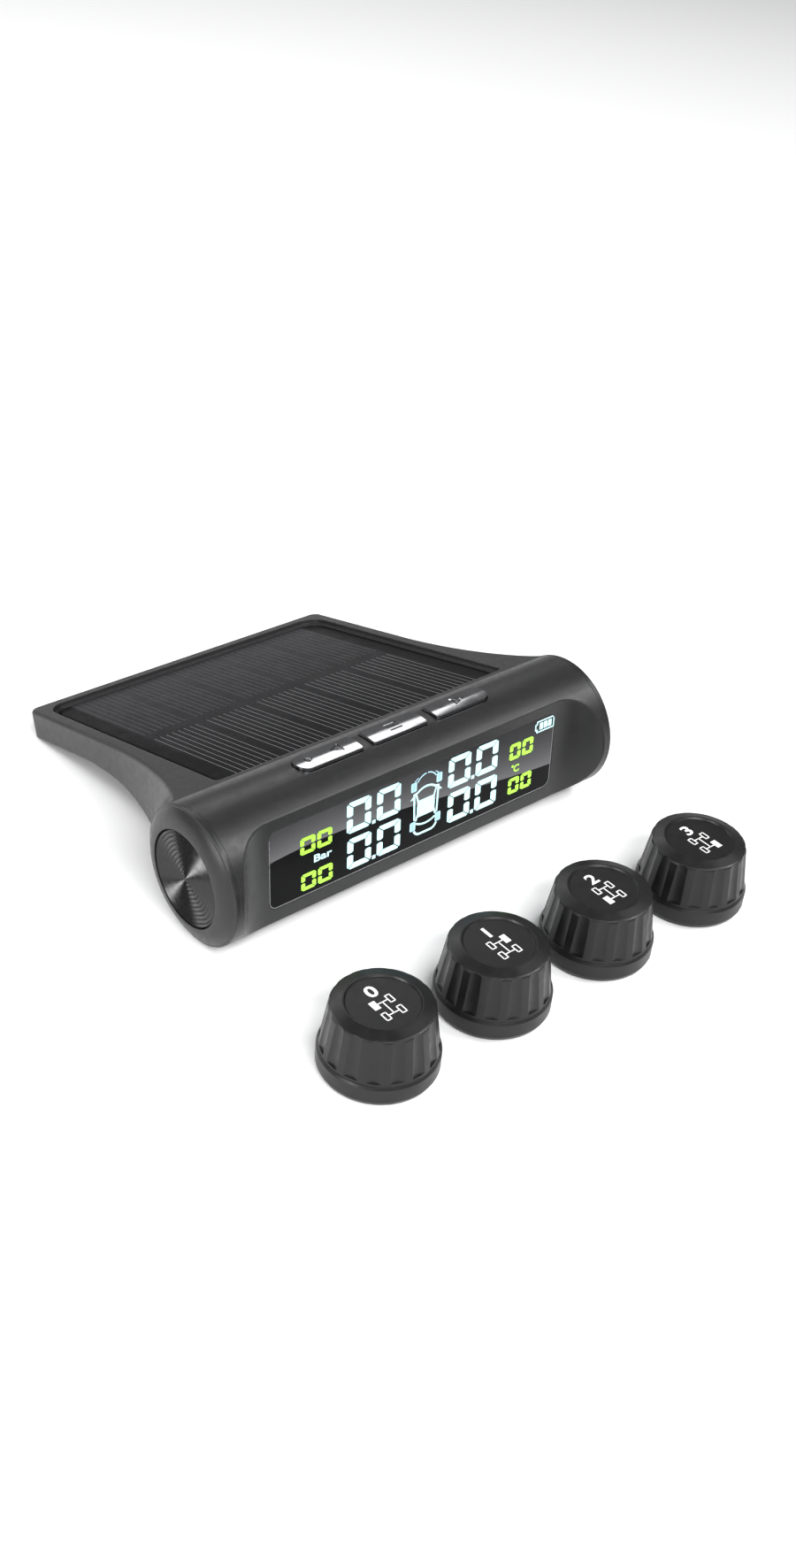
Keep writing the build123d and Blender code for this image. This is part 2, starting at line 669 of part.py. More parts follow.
def make_sensor_parts():
    gasket = Cylinder(RELIEF_R - 0.05, GASKET_THICK) - Cylinder(1.6, GASKET_THICK)
    board = Cylinder(BOARD_R, BOARD_THICK) - Cylinder(PIN_R - 0.2, BOARD_THICK)
    return {
        "sensor_cap": make_sensor_cap(),
        "sensor_base": make_sensor_base(),
        "valve_insert": make_valve_insert(),
        "cap_seal": Pos(0, 0, SKIRT_H + SEAL_WIRE_R + 0.03) * Torus(SEAL_R, SEAL_WIRE_R),
        "valve_gasket": Pos(0, 0, RELIEF_TOP - 0.02 - GASKET_THICK / 2) * gasket,
        "sensor_board": Pos(0, 0, BASE_FLOOR + 0.1 + BOARD_THICK / 2) * board,
        "coin_cell": Pos(0, 0, NECK_TOP - 0.4 - COIN_THICK / 2) * Cylinder(COIN_R, COIN_THICK),
    }


# ---- assembly ----------------------------------------------------------------------------
def make_display():
    width, height = LENS_SIZE
    lens = window_plate(width - 2 * FIT, height - 2 * FIT, WINDOW_Y + 0.05, LENS_THICK, LENS_CORNER_R - FIT)
    right_cap = cap_blank() - usb_slot(0.15)
    right_plate = plate_blank() - usb_slot(0.35)
    panel_foot = WING_TOP - TRAY_DEPTH + 0.02
    cell_width, cell_depth, cell_thick = CELL_SIZE
    cell = WING * Pos(0, CELL_BACK, CELL_TOP - cell_thick / 2) * Box(*CELL_SIZE)
    key_board = KEYS * block((-24, 24), (-1.6, 6.4), (SWITCH_FOOT - 0.8, SWITCH_FOOT))
    panel = tray_box(TRAY_STEP + FIT, panel_foot + PANEL_THICK, panel_foot, TRAY_CORNER_R - TRAY_STEP)
    panel_top = panel.faces().filter_by(lambda face: face.normal_at().dot(UP_WING) > 0.99)
    display = {
        "upper_housing": make_upper_housing(),
        "lower_cover": make_lower_cover(),
        "right_end_cap": right_cap,
        "left_end_cap": mirror(cap_blank(), Plane.YZ),
        "right_ring_plate": right_plate,
        "left_ring_plate": mirror(plate_blank(), Plane.YZ),
        "display_lens": lens,
        "lcd_glass": window_plate(*LCD_SIZE, LCD_Y, LCD_THICK, 0.3),
        "light_guide": window_plate(*LCD_SIZE, GUIDE_Y, GUIDE_THICK, 0.3),
        "lcd_frame": make_lcd_frame(),
        "main_pcb": block((-41, 36), (PCB_Y, PCB_BACK), (-9.2, 5.9)),
        "pcb_components": make_pcb_components(),
        "antenna_coil": make_antenna_coil(),
        "buzzer": Pos(-12, PCB_BACK + 1.6, -2.5) * Rot(90, 0, 0) * Cylinder(4.2, 3.1),
        "key_board": key_board,
        "tact_switches": make_tact_switches(),
        "usb_socket": make_usb_socket(),
        "charge_board": block((37, 43), (USB_SHELL[1] / 2 + 0.02, USB_SHELL[1] / 2 + 0.82), (-5.5, 5.5)),
        "battery_cell": fillet(cell.edges().filter_by(Axis.X), 1.4),
        "solar_panel": fillet(panel_top.edges(), 0.9),
        "solar_leads": make_solar_leads(),
        "battery_leads": make_battery_leads(),
        "case_screws": make_case_screws(),
    }
    for name in KEY_CENTRES:
        display[name + "_button"] = make_button(name)
        display[name + "_plunger"] = make_plunger(name)
    return display


def main():
    os.makedirs("parts", exist_ok=True)
    nodes = {name: stand(shape) for name, shape in make_display().items()}
    nodes["base_pad"] = make_base_pad()
    sensor_y = -TUBE_R - SENSOR_GAP - SENSOR_R
    sensor_parts = make_sensor_parts()
    for place, name in enumerate(SENSOR_NAMES):
        spot = Pos((place - 1.5) * SENSOR_PITCH, sensor_y, 0)
        for part, shape in sensor_parts.items():
            nodes[f"{name}_{part}"] = spot * shape
    for name, shape in nodes.items():
        export_step(shape, f"parts/{name}.step")
    press = radians(KEY_ANGLE + LEAN)
    print("nodes", len(nodes), "lean", round(LEAN, 3), "sensor y", sensor_y)
    print("button press direction", (0, round(-sin(press), 5), round(-cos(press), 5)))
    print("wing up direction", (0, round(sin(slope + radians(LEAN)), 5), round(cos(slope + radians(LEAN)), 5)))


main()
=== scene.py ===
"""Looks of the tire pressure monitor: materials, display graphics, solar fingers, marks, studio."""
import json
import math

import bpy
from mathutils import Matrix, Vector


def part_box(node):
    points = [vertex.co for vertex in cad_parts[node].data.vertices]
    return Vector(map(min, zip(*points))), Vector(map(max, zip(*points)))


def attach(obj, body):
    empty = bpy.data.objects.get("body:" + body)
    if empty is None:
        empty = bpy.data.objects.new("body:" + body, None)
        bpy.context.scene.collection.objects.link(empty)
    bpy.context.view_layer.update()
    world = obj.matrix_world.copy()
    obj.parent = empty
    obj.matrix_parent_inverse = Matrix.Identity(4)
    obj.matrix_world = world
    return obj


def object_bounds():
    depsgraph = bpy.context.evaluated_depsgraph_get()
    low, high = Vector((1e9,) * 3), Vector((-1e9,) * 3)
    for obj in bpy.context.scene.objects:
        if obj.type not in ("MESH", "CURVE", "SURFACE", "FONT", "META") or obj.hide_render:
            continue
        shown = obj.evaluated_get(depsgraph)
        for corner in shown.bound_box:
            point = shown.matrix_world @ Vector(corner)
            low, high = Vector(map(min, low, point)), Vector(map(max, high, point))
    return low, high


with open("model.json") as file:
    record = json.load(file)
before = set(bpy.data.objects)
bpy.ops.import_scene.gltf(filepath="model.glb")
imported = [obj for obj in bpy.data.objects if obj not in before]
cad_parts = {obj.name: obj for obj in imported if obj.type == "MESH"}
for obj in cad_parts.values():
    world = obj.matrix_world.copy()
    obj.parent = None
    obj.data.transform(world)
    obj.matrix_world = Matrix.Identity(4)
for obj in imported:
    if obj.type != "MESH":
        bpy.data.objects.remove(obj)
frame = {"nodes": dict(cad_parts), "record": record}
cad_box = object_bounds()
NODES = frame["nodes"]
MM = 0.001                               # lengths below are in mm unless they say otherwise
SENSORS = ("fl", "fr", "rl", "rr")

# ---- directions ----------------------------------------------------------------------------
RIGHT, BACKWARD, UP = Vector((1, 0, 0)), Vector((0, 1, 0)), Vector((0, 0, 1))
LEAN = math.radians(4.095)               # how far the display leans back on the floor
WING_FALL = math.radians(12.35) + LEAN   # the solar wing's fall to the back
LENS_UP = Vector((0, math.sin(LEAN), math.cos(LEAN)))
LENS_OUT = Vector((0, -math.cos(LEAN), math.sin(LEAN)))
WING_BACK = Vector((0, math.cos(WING_FALL), -math.sin(WING_FALL)))
WING_UP = Vector((0, math.sin(WING_FALL), math.cos(WING_FALL)))


def box_middle(node):
    low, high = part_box(node)
    return (low + high) / 2


# ---- material tools ------------------------------------------------------------------------
MOTTLE_SCALE = 160                       # noise scales are per metre
CELL_SCALE = 900
GRAIN_TO_WEAR = 6                        # the uneven gloss is this much coarser than the grain
SEGMENT_DIM = 0.88
SEGMENT_BODY = 0.4


def new_material(name):
    material = bpy.data.materials.new(name)
    material.use_nodes = True
    tree = material.node_tree
    return material, tree, tree.nodes["Principled BSDF"]


def object_coords(tree, scale=(1, 1, 1)):
    """Object coordinates in metres, stretched by scale."""
    coords = tree.nodes.new("ShaderNodeTexCoord")
    mapping = tree.nodes.new("ShaderNodeMapping")
    mapping.inputs["Scale"].default_value = scale
    tree.links.new(coords.outputs["Object"], mapping.inputs["Vector"])
    return mapping.outputs["Vector"]


def coordinate(tree, axis):
    """One object coordinate in metres, X, Y or Z."""
    coords = tree.nodes.new("ShaderNodeTexCoord")
    split = tree.nodes.new("ShaderNodeSeparateXYZ")
    tree.links.new(coords.outputs["Object"], split.inputs[0])
    return split.outputs[axis]


def noise(tree, vector, scale, detail=2.0, rough=0.5):
    node = tree.nodes.new("ShaderNodeTexNoise")
    node.inputs["Scale"].default_value = scale
    node.inputs["Detail"].default_value = detail
    node.inputs["Roughness"].default_value = rough
    tree.links.new(vector, node.inputs["Vector"])
    return node.outputs["Fac"]


def maths(tree, kind, *values, clamp=False):
    """Math node on numbers or sockets."""
    node = tree.nodes.new("ShaderNodeMath")
    node.operation = kind
    node.use_clamp = clamp
    for socket, value in zip(node.inputs, values):
        if isinstance(value, (int, float)):
            socket.default_value = value
        else:
            tree.links.new(value, socket)
    return node.outputs[0]


def ramp(tree, value, low, high, positions=(0.35, 0.65)):
    """Two-stop colour ramp; low and high are greys or RGB."""
    node = tree.nodes.new("ShaderNodeValToRGB")
    for stop, position, colour in zip(node.color_ramp.elements, positions, (low, high)):
        stop.position = position
        rgb = colour if isinstance(colour, tuple) else (colour,) * 3
        stop.color = (*rgb, 1)
    tree.links.new(value, node.inputs["Fac"])
    return node.outputs["Color"]


def spread(tree, value, start, end, start_gives=0.0, end_gives=1.0):
    """Linear map of a value between two limits."""
    node = tree.nodes.new("ShaderNodeMapRange")
    node.inputs["From Min"].default_value = start
    node.inputs["From Max"].default_value = end
    node.inputs["To Min"].default_value = start_gives
    node.inputs["To Max"].default_value = end_gives
    tree.links.new(value, node.inputs["Value"])
    return node.outputs["Result"]


def blend(tree, first, second, factor, kind="MIX"):
    """Mix of two colours or sockets; factor is a number or a socket."""
    node = tree.nodes.new("ShaderNodeMix")
    node.data_type = "RGBA"
    node.blend_type = kind
    for name, value in (("A", first), ("B", second), ("Factor", factor)):
        if isinstance(value, tuple):
            node.inputs[name].default_value = (*value, 1)
        elif isinstance(value, float):
            node.inputs[name].default_value = value
        else:
            tree.links.new(value, node.inputs[name])
    return node.outputs["Result"]


def soft_edges(tree, radius):
    """Normals that turn a sharp corner into a small rounding."""
    node = tree.nodes.new("ShaderNodeBevel")
    node.samples = 4
    node.inputs["Radius"].default_value = radius
    return node.outputs["Normal"]


def bump(tree, shader, height, strength, distance, below=None):
    node = tree.nodes.new("ShaderNodeBump")
    node.inputs["Strength"].default_value = strength
    node.inputs["Distance"].default_value = distance
    tree.links.new(height, node.inputs["Height"])
    if below is not None:
        tree.links.new(below, node.inputs["Normal"])
    tree.links.new(node.outputs["Normal"], shader.inputs["Normal"])


def shade(colour, factor):
    return tuple(channel * factor for channel in colour)


def moulded(name, colour, rough=(0.38, 0.52), grain=3200, grain_depth=0.00004, grain_strength=0.35,
            metallic=0.0, mottle=0.06, stretch=(1, 1, 1), edge=0.0, specular=0.5):
    """Moulded plastic, rubber or metal: mottled colour, uneven gloss and a fine surface grain.

    The depth of the grain and the radius of the softened edges are in metres.
    """
    material, tree, shader = new_material(name)
    vector = object_coords(tree, stretch)
    cloud = noise(tree, vector, MOTTLE_SCALE, 4.0)
    tone = ramp(tree, cloud, shade(colour, 1 - mottle), shade(colour, 1 + mottle))
    tree.links.new(tone, shader.inputs["Base Color"])
    fine = noise(tree, vector, grain, 3.0, 0.6)
    wear = noise(tree, vector, grain / GRAIN_TO_WEAR, 3.0)
    tree.links.new(ramp(tree, wear, *rough), shader.inputs["Roughness"])
    corner = soft_edges(tree, edge) if edge else None
    bump(tree, shader, fine, grain_strength, grain_depth, corner)
    shader.inputs["Metallic"].default_value = metallic
    shader.inputs["Specular IOR Level"].default_value = specular
    return material


def lit(name, colour, strength):
    """Lit display segment: a glow with a fine, slightly darker cell pattern."""
    material, tree, shader = new_material(name)
    cell = noise(tree, object_coords(tree), CELL_SCALE)
    glow = ramp(tree, cell, shade(colour, SEGMENT_DIM), colour)
    tree.links.new(glow, shader.inputs["Emission Color"])
    shader.inputs["Emission Strength"].default_value = strength
    shader.inputs["Base Color"].default_value = (*shade(colour, SEGMENT_BODY), 1)
    shader.inputs["Roughness"].default_value = 0.3
    return material


# ---- display lens --------------------------------------------------------------------------
LENS_BLACK = (0.002, 0.002, 0.0025)
LENS_PAINTED_SHEEN = (0.13, 0.13, 0.135)
LENS_SPECULAR = 0.08
SHEEN_HEIGHT = 0.8      # the painted sheen's line above the lens's middle, its slope, bow and twist to the right
SHEEN_SLOPE = -0.124
SHEEN_BOW = -0.0012
SHEEN_TWIST = 4.1e-5
SHEEN_SHARPNESS = 12    # per mm
SHEEN_FADE = 4.2        # the painted sheen halves over this height
lens_middle = box_middle("display_lens")


def lens_gloss():
    """Black lens with a painted reflection: a paler sheen painted into the base colour above a curved line,
    strongest along the line.
    """
    material, tree, shader = new_material("lens_gloss")
    across = coordinate(tree, "X")
    cubic = maths(tree, "MULTIPLY_ADD", across, SHEEN_TWIST / MM ** 2, SHEEN_BOW / MM)
    slope = maths(tree, "MULTIPLY_ADD", cubic, across, SHEEN_SLOPE)
    rise = maths(tree, "MULTIPLY", slope, across)
    height = maths(tree, "SUBTRACT", coordinate(tree, "Z"), lens_middle.z + SHEEN_HEIGHT * MM)
    above = maths(tree, "SUBTRACT", height, rise)
    inside = maths(tree, "MULTIPLY_ADD", above, SHEEN_SHARPNESS / MM, 0.5, clamp=True)
    fade = maths(tree, "POWER", 0.5, maths(tree, "DIVIDE", above, SHEEN_FADE * MM))
    amount = maths(tree, "MULTIPLY", inside, fade, clamp=True)
    # painted reflection: the paler sheen above the curved line is painted into the base colour
    tree.links.new(blend(tree, LENS_BLACK, LENS_PAINTED_SHEEN, amount), shader.inputs["Base Color"])
    gloss = ramp(tree, noise(tree, object_coords(tree), 300), 0.05, 0.08)
    tree.links.new(gloss, shader.inputs["Roughness"])
    shader.inputs["Specular IOR Level"].default_value = LENS_SPECULAR
    return material


# ---- solar panel's resin -------------------------------------------------------------------
FINGER_REACH = 29.0     # outermost collector line from the middle of the panel
# painted reflection: the black side margin and the paler rear are painted into the resin's colour
RESIN_PAINTED_DARK_MARGIN = (0.0015, 0.0015, 0.002)
RESIN_FRONT = (0.0025, 0.0025, 0.003)
RESIN_PAINTED_SHEEN_BACK = (0.026, 0.026, 0.028)
RESIN_SPECULAR = 0.12
PAINTED_SHEEN_FROM = 8          # the painted sheen starts this far behind the panel's front edge
MARGIN_START, MARGIN_END = 0.6, 0.9      # the painted dark margin, beside the outermost line
STREAK_STRETCH = (1, 0.15, 1)
STREAK_SCALE = 4200


def solar_resin():
    """Clear resin over a nearly black cell, with a painted reflection: a little paler towards the wing's
    rear edge, and painted black side margins for the dark reflection on the dome's curved sides.
    """
    material, tree, shader = new_material("solar_resin")
    low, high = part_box("solar_panel")
    painted_sheen_reach = spread(tree, coordinate(tree, "Y"), low.y + PAINTED_SHEEN_FROM * MM, high.y)
    side = maths(tree, "ABSOLUTE", coordinate(tree, "X"))
    margin_start, margin_end = (FINGER_REACH + MARGIN_START) * MM, (FINGER_REACH + MARGIN_END) * MM
    painted_dark_margin = spread(tree, side, margin_start, margin_end, 1.0, 0.0)
    streak = ramp(tree, noise(tree, object_coords(tree, STREAK_STRETCH), STREAK_SCALE), 0.85, 1.0)
    tone = blend(tree, RESIN_FRONT, RESIN_PAINTED_SHEEN_BACK, painted_sheen_reach)
    cell = blend(tree, tone, streak, 1.0, "MULTIPLY")
    tree.links.new(blend(tree, RESIN_PAINTED_DARK_MARGIN, cell, painted_dark_margin), shader.inputs["Base Color"])
    gloss = ramp(tree, noise(tree, object_coords(tree), 250), 0.15, 0.2)
    tree.links.new(gloss, shader.inputs["Roughness"])
    shader.inputs["Specular IOR Level"].default_value = RESIN_SPECULAR
    return material


# ---- materials by slot ---------------------------------------------------------------------
CHARCOAL = (0.013, 0.013, 0.0135)
RING_BLACK = (0.005, 0.005, 0.0055)
SENSOR_BLACK = (0.006, 0.006, 0.006)
materials = {
    "housing": moulded("housing_plastic", CHARCOAL, rough=(0.34, 0.42), grain=5200, edge=0.0003,
                       specular=0.42),
    "cover": moulded("cover_plastic", shade(CHARCOAL, 0.8), rough=(0.45, 0.55), grain=3400, edge=0.0002,
                     specular=0.35),
    "end_cap": moulded("end_cap_plastic", shade(CHARCOAL, 0.85), rough=(0.34, 0.42), grain=5200,
                       edge=0.0002, specular=0.4),
    "ring_plate": moulded("ring_plate_plastic", RING_BLACK, rough=(0.2, 0.28), grain=5200,
                          grain_strength=0.02),
    "lens": lens_gloss(),
    "lcd_glass": moulded("lcd_glass", (0.02, 0.02, 0.025), rough=(0.05, 0.1)),
    "light_guide": moulded("light_guide", (0.75, 0.78, 0.8), rough=(0.2, 0.3)),
    "white_plastic": moulded("white_plastic", (0.7, 0.7, 0.67)),
    "circuit_board": moulded("circuit_board", (0.02, 0.13, 0.05), rough=(0.25, 0.4), mottle=0.2),
    "chips": moulded("chip_black", (0.02, 0.02, 0.02)),
    "copper": moulded("copper_wire", (0.75, 0.36, 0.18), rough=(0.2, 0.3), metallic=1.0),
    "steel": moulded("nickel_steel", (0.62, 0.61, 0.58), rough=(0.18, 0.3), metallic=1.0,
                     stretch=(1, 1, 12)),
    "cell_foil": moulded("cell_foil", (0.6, 0.6, 0.62), rough=(0.25, 0.4), metallic=1.0),
    "solar": solar_resin(),
    "lead_red": moulded("lead_insulation", (0.35, 0.02, 0.02)),
    "screw_steel": moulded("screw_steel", (0.12, 0.12, 0.125), rough=(0.3, 0.4), metallic=1.0),
    "rubber": moulded("pad_rubber", (0.018, 0.018, 0.018), rough=(0.75, 0.9), grain=1500,
                      grain_depth=0.00015, grain_strength=0.6),
    "button_chrome": moulded("smoked_chrome", (0.36, 0.36, 0.37), rough=(0.09, 0.13), metallic=1.0,
                             grain=2500, grain_strength=0.02, mottle=0.1),
    "sensor_cap": moulded("sensor_cap_plastic", SENSOR_BLACK, rough=(0.32, 0.42), grain=3000,
                          edge=0.00015, specular=0.36),
    "sensor_base": moulded("sensor_base_plastic", SENSOR_BLACK, rough=(0.34, 0.44), grain=3000,
                           edge=0.00015, specular=0.36),
    "brass": moulded("turned_brass", (0.72, 0.5, 0.2), rough=(0.2, 0.32), metallic=1.0,
                     stretch=(1, 1, 20)),
    "seal": moulded("seal_rubber", (0.02, 0.02, 0.02), rough=(0.6, 0.75)),
    "lcd_cyan": lit("segment_cyan", (0.62, 0.97, 1.0), 0.95),
    "lcd_blue": lit("segment_blue", (0.33, 0.60, 0.92), 0.95),
    "lcd_lime": lit("segment_lime", (0.46, 1.0, 0.07), 0.95),
    "lcd_pale": lit("segment_pale", (0.50, 0.80, 0.95), 0.9),
    "print_white": moulded("printed_white", (0.80, 0.80, 0.79), rough=(0.4, 0.55)),
    "finger_silver": moulded("finger_silver", (0.12, 0.12, 0.124), rough=(0.5, 0.6),
                             grain_strength=0.05),
    # painted shade: the rear row is the same collector lines as the front row, painted darker
    "finger_painted_shade": moulded("finger_painted_shade", (0.045, 0.045, 0.047), rough=(0.5, 0.6), grain_strength=0.05),
    # painted highlight: the pale line where the lens pocket's chamfer catches light
    "edge_painted_highlight": moulded("lens_edge_painted_highlight", (0.22, 0.22, 0.225), rough=(0.25, 0.35), metallic=0.5),
}

for entry in frame["record"]["subparts"]:
    node = NODES[entry["node"]]
    node.data.materials.clear()
    node.data.materials.append(materials[entry["material_slot"]])
    for polygon in node.data.polygons:
        polygon.material_index = 0


# ---- pieces laid on a surface --------------------------------------------------------------
def add_piece(name, mesh, look, body):
    """Object for a finished mesh, with its material, slot and body."""
    piece = bpy.data.objects.new(name, mesh)
    bpy.context.scene.collection.objects.link(piece)
    mesh.materials.clear()
    mesh.materials.append(materials[look])
    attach(piece, body)


def mesh_from(name, vertices, faces):
    mesh = bpy.data.meshes.new(name)
    mesh.from_pydata(vertices, [], faces)
    mesh.update()
    return mesh


def slab(name, outlines, origin, across, upward, outward, thick, look, body):
    """Thin solid figures: 2-D outlines laid on the plane through origin."""
    vertices, faces = [], []
    for outline in outlines:
        start, count = len(vertices), len(outline)
        for level in (0.0, thick):
            for u, v in outline:
                vertices.append(origin + (across * u + upward * v + outward * level) * MM)
        lower = [start + index for index in range(count)]
        upper = [start + count + index for index in range(count)]
        faces.append(list(reversed(lower)))
        faces.append(upper)
        for index in range(count):
            follower = (index + 1) % count
            faces.append([lower[index], lower[follower], upper[follower], upper[index]])
    add_piece(name, mesh_from(name, vertices, faces), look, body)


STROKE_OVERRUN = 0.2                     # a stroke's runs overlap by this share of its width


def ribbon(points, width):
    """Outlines of a stroke of even width along points, one four-sided figure a run."""
    figures = []
    for (x0, y0), (x1, y1) in zip(points, points[1:]):
        length = math.hypot(x1 - x0, y1 - y0)
        ux, uy = (x1 - x0) / length, (y1 - y0) / length
        nx, ny = -uy * width / 2, ux * width / 2
        ex, ey = ux * width * STROKE_OVERRUN, uy * width * STROKE_OVERRUN
        figures.append([
            (x0 - ex - nx, y0 - ey - ny), (x1 + ex - nx, y1 + ey - ny),
            (x1 + ex + nx, y1 + ey + ny), (x0 - ex + nx, y0 - ey + ny),
        ])
    return figures


def arc(cx, cy, rx, ry, start, end, steps=14):
    """Points along an elliptical arc, angles in degrees."""
    angles = [math.radians(start + (end - start) * step / steps) for step in range(steps + 1)]
    return [(cx + rx * math.cos(angle), cy + ry * math.sin(angle)) for angle in angles]


def rounded(x, y, width, height, radius):
    """Rounded rectangle about a centre."""
    corners = ((1, 1, 0), (-1, 1, 90), (-1, -1, 180), (1, -1, 270))
    outline = []
    for sx, sy, start in corners:
        outline += arc(x + sx * (width / 2 - radius), y + sy * (height / 2 - radius), radius, radius,
                       start, start + 90, 4)
    return outline


def box_outline(x, y, half_width, half_height):
    return [(x - half_width, y - half_height), (x + half_width, y - half_height),
            (x + half_width, y + half_height), (x - half_width, y + half_height)]


def both_sides(points):
    return points, [(-u, v) for u, v in reversed(points)]


def moved(figures, dx, dy):
    return [[(u + dx, v + dy) for u, v in figure] for figure in figures]


FONT_TO_CAPITAL = 1.38                   # font size over the capitals' height
WORD_HALF_THICK = 0.01


def word(name, text, size, origin, across, upward, outward, look, body, widen, embolden=0.03):
    """Generic unit or digit as a thin mesh; size is the capitals' height."""
    curve = bpy.data.curves.new(name, "FONT")
    curve.body = text
    curve.size = size * FONT_TO_CAPITAL * MM
    curve.align_x = "CENTER"
    curve.align_y = "CENTER"
    curve.extrude = WORD_HALF_THICK * MM
    curve.offset = embolden * size * MM
    curve.resolution_u = 3
    text_object = bpy.data.objects.new(name, curve)
    bpy.context.scene.collection.objects.link(text_object)
    bpy.context.view_layer.update()
    graph = bpy.context.evaluated_depsgraph_get()
    mesh = bpy.data.meshes.new_from_object(text_object.evaluated_get(graph))
    bpy.data.objects.remove(text_object)
    turn = Matrix((across * widen, upward, outward)).transposed().to_4x4()
    mesh.transform(Matrix.Translation(origin) @ turn)
    add_piece(name, mesh, look, body)


# ---- display graphics: u to the right and v up from the lens's middle ----------------------
LENS_HALF_THICK = 0.5
LENS_GAP = 0.004
SEGMENT_THICK = 0.02
TREAD_THICK = 0.03
lens_face = lens_middle + LENS_OUT * (LENS_HALF_THICK + LENS_GAP) * MM


def on_lens(name, figures, look, thick=SEGMENT_THICK):
    slab(name, figures, lens_face, RIGHT, LENS_UP, LENS_OUT, thick, look, "monitor")


def zero(x, y, width, height, stroke, gap):
    """Six lit segments of the digit 0, from its lower left corner."""
    level = stroke * 0.84
    cut = stroke * 0.42
    waist = height / 2 + stroke * 0.36
    tip = height / 2 + stroke * 0.16 + gap / 2
    top = [(cut + gap, height), (width - cut - gap, height), (width - cut / 2 - gap, height - cut * 0.42),
           (width - stroke - gap, height - level), (stroke + gap, height - level),
           (cut / 2 + gap, height - cut * 0.42)]
    side = [(0, height - cut), (cut * 0.35, height - cut * 0.45 - gap / 2),
            (stroke, height - level - gap * 1.3), (stroke, waist), (stroke * 0.72, tip),
            (stroke * 0.28, tip), (0, waist)]
    figures = [top, side, [(width - u, v) for u, v in reversed(side)]]
    figures += [[(u, height - v) for u, v in reversed(figure)] for figure in figures]
    return moved(figures, x, y)


PRESSURE_SIZE, PRESSURE_STROKE, PRESSURE_PITCH = (5.65, 6.7), 1.42, 7.02
POINT_GAP, POINT_SIDE = 0.3, 0.8
TEMPERATURE_HEIGHT, TEMPERATURE_STROKE, TEMPERATURE_GAP = 3.6, 0.88, 0.45


def pressure(x, y):
    """Reading 0.0 from its lower left corner."""
    width, height = PRESSURE_SIZE
    half = POINT_SIDE / 2
    point = box_outline(x + width + POINT_GAP + half, y + half, half, half)
    digits = [zero(x + shift, y, width, height, PRESSURE_STROKE, 0.1) for shift in (0, PRESSURE_PITCH)]
    return digits[0] + digits[1] + [point]


def temperature(x, y, width):
    """Reading 00 from its lower left corner."""
    shifts = (0, width + TEMPERATURE_GAP)
    digits = [zero(x + shift, y, width, TEMPERATURE_HEIGHT, TEMPERATURE_STROKE, 0.06) for shift in shifts]
    return digits[0] + digits[1]


on_lens("pressure_digits",
        pressure(-17.3, 0.9) + pressure(-17.1, -7.05) + pressure(7.1, 1.2) + pressure(7.3, -6.7), "lcd_cyan")
on_lens("temperature_digits",
        temperature(-27.8, 0.7, 3.35) + temperature(-27.6, -7.2, 3.35) + temperature(23.0, 1.5, 2.9)
        + temperature(23.2, -6.4, 2.9), "lcd_lime")

CAR_X, CAR_Y = 1.7, 0.43


def car_outline():
    """Plan view of a car: screens, rear bumper, pillars, body sides and mirrors."""
    figures = ribbon(arc(0, 0.4, 3.35, 3.34, 127, 53, 12), 0.44)
    figures += ribbon(arc(0, -1.7, 3.6, 2.8, 231, 309, 10), 0.40)
    bumper = [(-2.75, -5.5), (-2.42, -5.98), (-2.0, -6.3), (-1.5, -6.45), (1.5, -6.45), (2.0, -6.3),
              (2.42, -5.98), (2.75, -5.5)]
    figures += ribbon(bumper, 0.48)
    body_side = [(-2.98, 2.85), (-2.87, 0.1), (-2.75, -2.9)]
    pillar = [(-2.52, 2.75), (-2.16, 1.65), (-1.92, 0.7), (-2.02, -0.5), (-1.98, -1.8), (-2.38, -3.2)]
    shoulder = [(-2.1, 2.98), (-2.6, 2.9), (-3.1, 2.78)]
    for line, width in ((body_side, 0.42), (pillar, 0.38), (shoulder, 0.40)):
        for points in both_sides(line):
            figures += ribbon(points, width)
    figures += both_sides([(-3.95, 1.76), (-2.97, 1.8), (-2.97, 2.65), (-3.2, 2.5)])
    return figures


def car_hood():
    """The hood's two curved lines and the lamps."""
    figures = []
    for start, end in ((95, 146), (34, 85)):
        figures += ribbon(arc(0, 3.6, 2.72, 3.02, start, end, 7), 0.24)
    for lamp in both_sides([(-2.12, 6.2), (-2.85, 5.72), (-2.6, 5.35)]):
        figures += ribbon(lamp, 0.16)
    return figures


roof = [(-1.85, 1.1), (-2.05, -0.5), (-1.92, -2.58), (1.92, -2.58), (2.05, -0.5), (1.85, 1.1)]
wheel_places = [(side * 3.12, y) for side in (-1, 1) for y in (4.5, -4.25)]
rims = [rounded(x, y, 1.36, 2.0, 0.3) for x, y in wheel_places]
treads = [rounded(x, y, 0.62, 1.75, 0.2) for x, y in wheel_places]
on_lens("car_outline", moved(car_outline(), CAR_X, CAR_Y), "lcd_cyan")
on_lens("car_roof", moved([roof], CAR_X, CAR_Y), "lcd_cyan")
on_lens("car_front", moved(car_hood() + rims, CAR_X, CAR_Y), "lcd_pale")
on_lens("car_wheels", moved(treads, CAR_X, CAR_Y), "lcd_blue", TREAD_THICK)

BATTERY_X, BATTERY_Y = 30.05, 5.45
battery_case = [(0, 0.55), (0, 0), (4.5, 0), (4.5, 2.35), (0, 2.35), (0, 1.8), (-0.4, 1.8), (-0.4, 0.55),
                (0.1, 0.55)]
battery_bars = [rounded(1.12 + 1.14 * step, 1.18, 0.95, 1.5, 0.12) for step in range(3)]
on_lens("battery_mark", moved(ribbon(battery_case, 0.3) + battery_bars, BATTERY_X, BATTERY_Y), "lcd_cyan")

UNIT_SIZE = 1.6
UNIT_BOLD = 0.035


